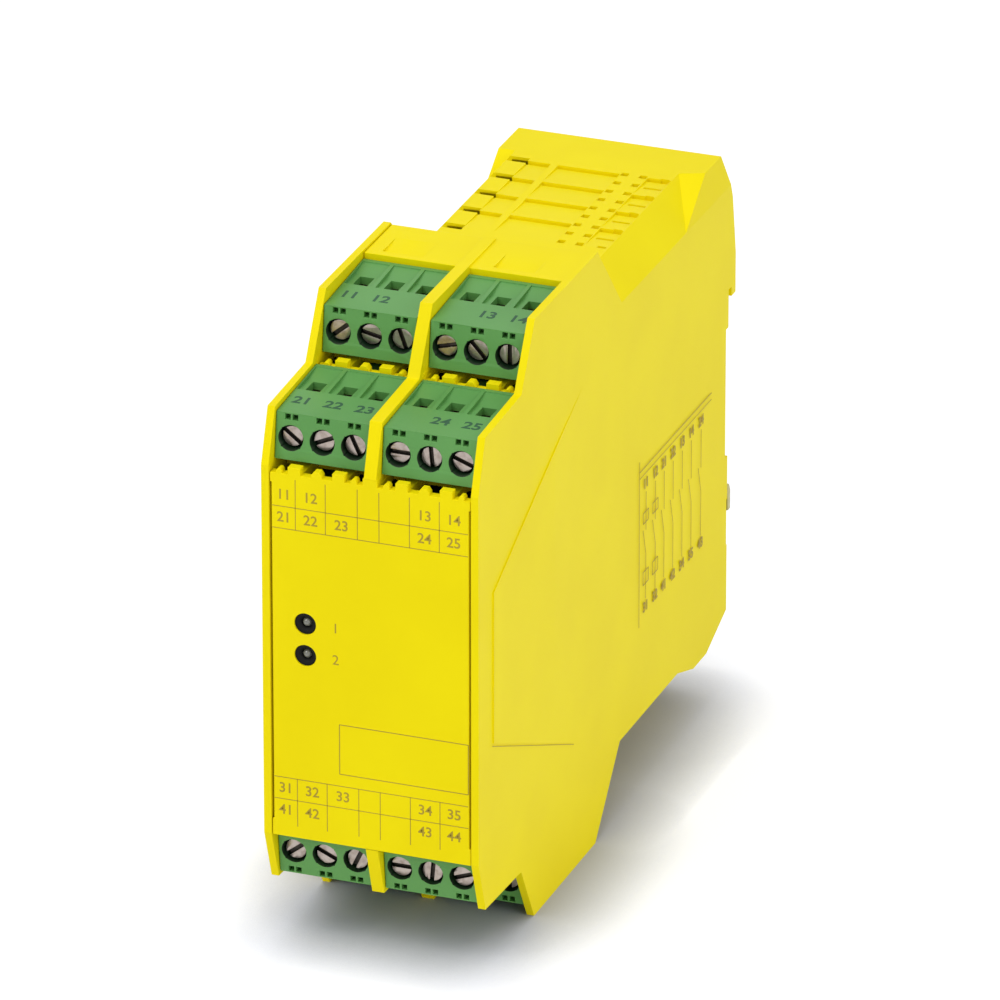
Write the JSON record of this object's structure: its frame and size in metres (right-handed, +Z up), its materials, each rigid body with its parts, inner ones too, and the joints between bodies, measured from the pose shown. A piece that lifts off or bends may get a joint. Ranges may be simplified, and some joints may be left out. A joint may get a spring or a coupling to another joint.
{
  "type": "safety relay module",
  "caption": "Slim rail-mounted safety relay in a stepped yellow housing with green plug-in screw terminals, indicator lamps and a spring-loaded rail foot.",
  "frame": {"origin": "on the rail seat at the rear, in the middle of the mounting rail and of the housing's width", "axes": "+X to the right seen from the front, along the rail; +Y from the front panel to the rail; +Z up"},
  "size_m": [0.035, 0.1145, 0.099],
  "materials": {
    "yellow_plastic": "satin moulded plastic",
    "green_plastic": "satin moulded plastic",
    "screw_steel": "nickel plated, slotted",
    "clamp_brass": "plated clamp cage",
    "plated_steel": "zinc plated sheet",
    "spring_steel": "bright wire",
    "tinned_pins": "tinned",
    "board": "solder mask",
    "header_plastic": "moulded",
    "relay_case": "sealed case",
    "lamp_lens": "diffused lens",
    "dark_plastic": "moulded spacer"
  },
  "bodies": {
    "housing": {"housing": "yellow_plastic", "front_cover": "yellow_plastic", "circuit_board_right": "board", "circuit_board_left": "board", "headers_right": "header_plastic", "headers_left": "header_plastic", "contact_pins_right": "tinned_pins", "contact_pins_left": "tinned_pins", "relay_upper": "relay_case", "relay_lower": "relay_case", "board_link": "header_plastic", "led_upper": "lamp_lens", "led_lower": "lamp_lens", "led_holder": "dark_plastic", "foot_spring": "spring_steel"},
    "foot": {"rail_foot": "plated_steel"},
    "plug_upper_front_left": {"plug_upper_front_left": "green_plastic", "clamps_upper_front_left": "clamp_brass"},
    "screw_upper_front_left_1": {"screw_upper_front_left_1": "screw_steel"},
    "screw_upper_front_left_2": {"screw_upper_front_left_2": "screw_steel"},
    "screw_upper_front_left_3": {"screw_upper_front_left_3": "screw_steel"},
    "plug_upper_front_right": {"plug_upper_front_right": "green_plastic", "clamps_upper_front_right": "clamp_brass"},
    "screw_upper_front_right_1": {"screw_upper_front_right_1": "screw_steel"},
    "screw_upper_front_right_2": {"screw_upper_front_right_2": "screw_steel"},
    "screw_upper_front_right_3": {"screw_upper_front_right_3": "screw_steel"},
    "plug_upper_rear_left": {"plug_upper_rear_left": "green_plastic", "clamps_upper_rear_left": "clamp_brass"},
    "screw_upper_rear_left_1": {"screw_upper_rear_left_1": "screw_steel"},
    "screw_upper_rear_left_2": {"screw_upper_rear_left_2": "screw_steel"},
    "screw_upper_rear_left_3": {"screw_upper_rear_left_3": "screw_steel"},
    "plug_upper_rear_right": {"plug_upper_rear_right": "green_plastic", "clamps_upper_rear_right": "clamp_brass"},
    "screw_upper_rear_right_1": {"screw_upper_rear_right_1": "screw_steel"},
    "screw_upper_rear_right_2": {"screw_upper_rear_right_2": "screw_steel"},
    "screw_upper_rear_right_3": {"screw_upper_rear_right_3": "screw_steel"},
    "plug_lower_front_left": {"plug_lower_front_left": "green_plastic", "clamps_lower_front_left": "clamp_brass"},
    "screw_lower_front_left_1": {"screw_lower_front_left_1": "screw_steel"},
    "screw_lower_front_left_2": {"screw_lower_front_left_2": "screw_steel"},
    "screw_lower_front_left_3": {"screw_lower_front_left_3": "screw_steel"},
    "plug_lower_front_right": {"plug_lower_front_right": "green_plastic", "clamps_lower_front_right": "clamp_brass"},
    "screw_lower_front_right_1": {"screw_lower_front_right_1": "screw_steel"},
    "screw_lower_front_right_2": {"screw_lower_front_right_2": "screw_steel"},
    "screw_lower_front_right_3": {"screw_lower_front_right_3": "screw_steel"},
    "plug_lower_rear_left": {"plug_lower_rear_left": "green_plastic", "clamps_lower_rear_left": "clamp_brass"},
    "screw_lower_rear_left_1": {"screw_lower_rear_left_1": "screw_steel"},
    "screw_lower_rear_left_2": {"screw_lower_rear_left_2": "screw_steel"},
    "screw_lower_rear_left_3": {"screw_lower_rear_left_3": "screw_steel"},
    "plug_lower_rear_right": {"plug_lower_rear_right": "green_plastic", "clamps_lower_rear_right": "clamp_brass"},
    "screw_lower_rear_right_1": {"screw_lower_rear_right_1": "screw_steel"},
    "screw_lower_rear_right_2": {"screw_lower_rear_right_2": "screw_steel"},
    "screw_lower_rear_right_3": {"screw_lower_rear_right_3": "screw_steel"}
  },
  "joints": [
    {"name": "foot_slide", "type": "slide", "parent": "housing", "child": "foot", "axis": [0, 0, -1], "range_m": [0, 0.0032], "stiffness_N_per_m": 2000, "springref_m": -0.002, "deforming": ["foot_spring"]},
    {"name": "slide_upper_front_left", "type": "slide", "parent": "housing", "child": "plug_upper_front_left", "axis": [0, -1, 0], "range_m": [0, 0.01]},
    {"name": "turn_upper_front_left_1", "type": "hinge", "parent": "plug_upper_front_left", "child": "screw_upper_front_left_1", "pos_m": [-0.01355, -0.1084, 0.0326], "axis": [0, -1, 0], "continuous": true},
    {"name": "turn_upper_front_left_2", "type": "hinge", "parent": "plug_upper_front_left", "child": "screw_upper_front_left_2", "pos_m": [-0.00855, -0.1084, 0.0326], "axis": [0, -1, 0], "continuous": true},
    {"name": "turn_upper_front_left_3", "type": "hinge", "parent": "plug_upper_front_left", "child": "screw_upper_front_left_3", "pos_m": [-0.00355, -0.1084, 0.0326], "axis": [0, -1, 0], "continuous": true},
    {"name": "slide_upper_front_right", "type": "slide", "parent": "housing", "child": "plug_upper_front_right", "axis": [0, -1, 0], "range_m": [0, 0.01]},
    {"name": "turn_upper_front_right_1", "type": "hinge", "parent": "plug_upper_front_right", "child": "screw_upper_front_right_1", "pos_m": [0.00355, -0.1084, 0.0326], "axis": [0, -1, 0], "continuous": true},
    {"name": "turn_upper_front_right_2", "type": "hinge", "parent": "plug_upper_front_right", "child": "screw_upper_front_right_2", "pos_m": [0.00855, -0.1084, 0.0326], "axis": [0, -1, 0], "continuous": true},
    {"name": "turn_upper_front_right_3", "type": "hinge", "parent": "plug_upper_front_right", "child": "screw_upper_front_right_3", "pos_m": [0.01355, -0.1084, 0.0326], "axis": [0, -1, 0], "continuous": true},
    {"name": "slide_upper_rear_left", "type": "slide", "parent": "housing", "child": "plug_upper_rear_left", "axis": [0, -1, 0], "range_m": [0, 0.01]},
    {"name": "turn_upper_rear_left_1", "type": "hinge", "parent": "plug_upper_rear_left", "child": "screw_upper_rear_left_1", "pos_m": [-0.01355, -0.0887, 0.0419], "axis": [0, -1, 0], "continuous": true},
    {"name": "turn_upper_rear_left_2", "type": "hinge", "parent": "plug_upper_rear_left", "child": "screw_upper_rear_left_2", "pos_m": [-0.00855, -0.0887, 0.0419], "axis": [0, -1, 0], "continuous": true},
    {"name": "turn_upper_rear_left_3", "type": "hinge", "parent": "plug_upper_rear_left", "child": "screw_upper_rear_left_3", "pos_m": [-0.00355, -0.0887, 0.0419], "axis": [0, -1, 0], "continuous": true},
    {"name": "slide_upper_rear_right", "type": "slide", "parent": "housing", "child": "plug_upper_rear_right", "axis": [0, -1, 0], "range_m": [0, 0.01]},
    {"name": "turn_upper_rear_right_1", "type": "hinge", "parent": "plug_upper_rear_right", "child": "screw_upper_rear_right_1", "pos_m": [0.00355, -0.0887, 0.0419], "axis": [0, -1, 0], "continuous": true},
    {"name": "turn_upper_rear_right_2", "type": "hinge", "parent": "plug_upper_rear_right", "child": "screw_upper_rear_right_2", "pos_m": [0.00855, -0.0887, 0.0419], "axis": [0, -1, 0], "continuous": true},
    {"name": "turn_upper_rear_right_3", "type": "hinge", "parent": "plug_upper_rear_right", "child": "screw_upper_rear_right_3", "pos_m": [0.01355, -0.0887, 0.0419], "axis": [0, -1, 0], "continuous": true},
    {"name": "slide_lower_front_left", "type": "slide", "parent": "housing", "child": "plug_lower_front_left", "axis": [0, -1, 0], "range_m": [0, 0.01]},
    {"name": "turn_lower_front_left_1", "type": "hinge", "parent": "plug_lower_front_left", "child": "screw_lower_front_left_1", "pos_m": [-0.01355, -0.1084, -0.0356], "axis": [0, -1, 0], "continuous": true},
    {"name": "turn_lower_front_left_2", "type": "hinge", "parent": "plug_lower_front_left", "child": "screw_lower_front_left_2", "pos_m": [-0.00855, -0.1084, -0.0356], "axis": [0, -1, 0], "continuous": true},
    {"name": "turn_lower_front_left_3", "type": "hinge", "parent": "plug_lower_front_left", "child": "screw_lower_front_left_3", "pos_m": [-0.00355, -0.1084, -0.0356], "axis": [0, -1, 0], "continuous": true},
    {"name": "slide_lower_front_right", "type": "slide", "parent": "housing", "child": "plug_lower_front_right", "axis": [0, -1, 0], "range_m": [0, 0.01]},
    {"name": "turn_lower_front_right_1", "type": "hinge", "parent": "plug_lower_front_right", "child": "screw_lower_front_right_1", "pos_m": [0.00355, -0.1084, -0.0356], "axis": [0, -1, 0], "continuous": true},
    {"name": "turn_lower_front_right_2", "type": "hinge", "parent": "plug_lower_front_right", "child": "screw_lower_front_right_2", "pos_m": [0.00855, -0.1084, -0.0356], "axis": [0, -1, 0], "continuous": true},
    {"name": "turn_lower_front_right_3", "type": "hinge", "parent": "plug_lower_front_right", "child": "screw_lower_front_right_3", "pos_m": [0.01355, -0.1084, -0.0356], "axis": [0, -1, 0], "continuous": true},
    {"name": "slide_lower_rear_left", "type": "slide", "parent": "housing", "child": "plug_lower_rear_left", "axis": [0, -1, 0], "range_m": [0, 0.01]},
    {"name": "turn_lower_rear_left_1", "type": "hinge", "parent": "plug_lower_rear_left", "child": "screw_lower_rear_left_1", "pos_m": [-0.01355, -0.0887, -0.0449], "axis": [0, -1, 0], "continuous": true},
    {"name": "turn_lower_rear_left_2", "type": "hinge", "parent": "plug_lower_rear_left", "child": "screw_lower_rear_left_2", "pos_m": [-0.00855, -0.0887, -0.0449], "axis": [0, -1, 0], "continuous": true},
    {"name": "turn_lower_rear_left_3", "type": "hinge", "parent": "plug_lower_rear_left", "child": "screw_lower_rear_left_3", "pos_m": [-0.00355, -0.0887, -0.0449], "axis": [0, -1, 0], "continuous": true},
    {"name": "slide_lower_rear_right", "type": "slide", "parent": "housing", "child": "plug_lower_rear_right", "axis": [0, -1, 0], "range_m": [0, 0.01]},
    {"name": "turn_lower_rear_right_1", "type": "hinge", "parent": "plug_lower_rear_right", "child": "screw_lower_rear_right_1", "pos_m": [0.00355, -0.0887, -0.0449], "axis": [0, -1, 0], "continuous": true},
    {"name": "turn_lower_rear_right_2", "type": "hinge", "parent": "plug_lower_rear_right", "child": "screw_lower_rear_right_2", "pos_m": [0.00855, -0.0887, -0.0449], "axis": [0, -1, 0], "continuous": true},
    {"name": "turn_lower_rear_right_3", "type": "hinge", "parent": "plug_lower_rear_right", "child": "screw_lower_rear_right_3", "pos_m": [0.01355, -0.0887, -0.0449], "axis": [0, -1, 0], "continuous": true}
  ]
}
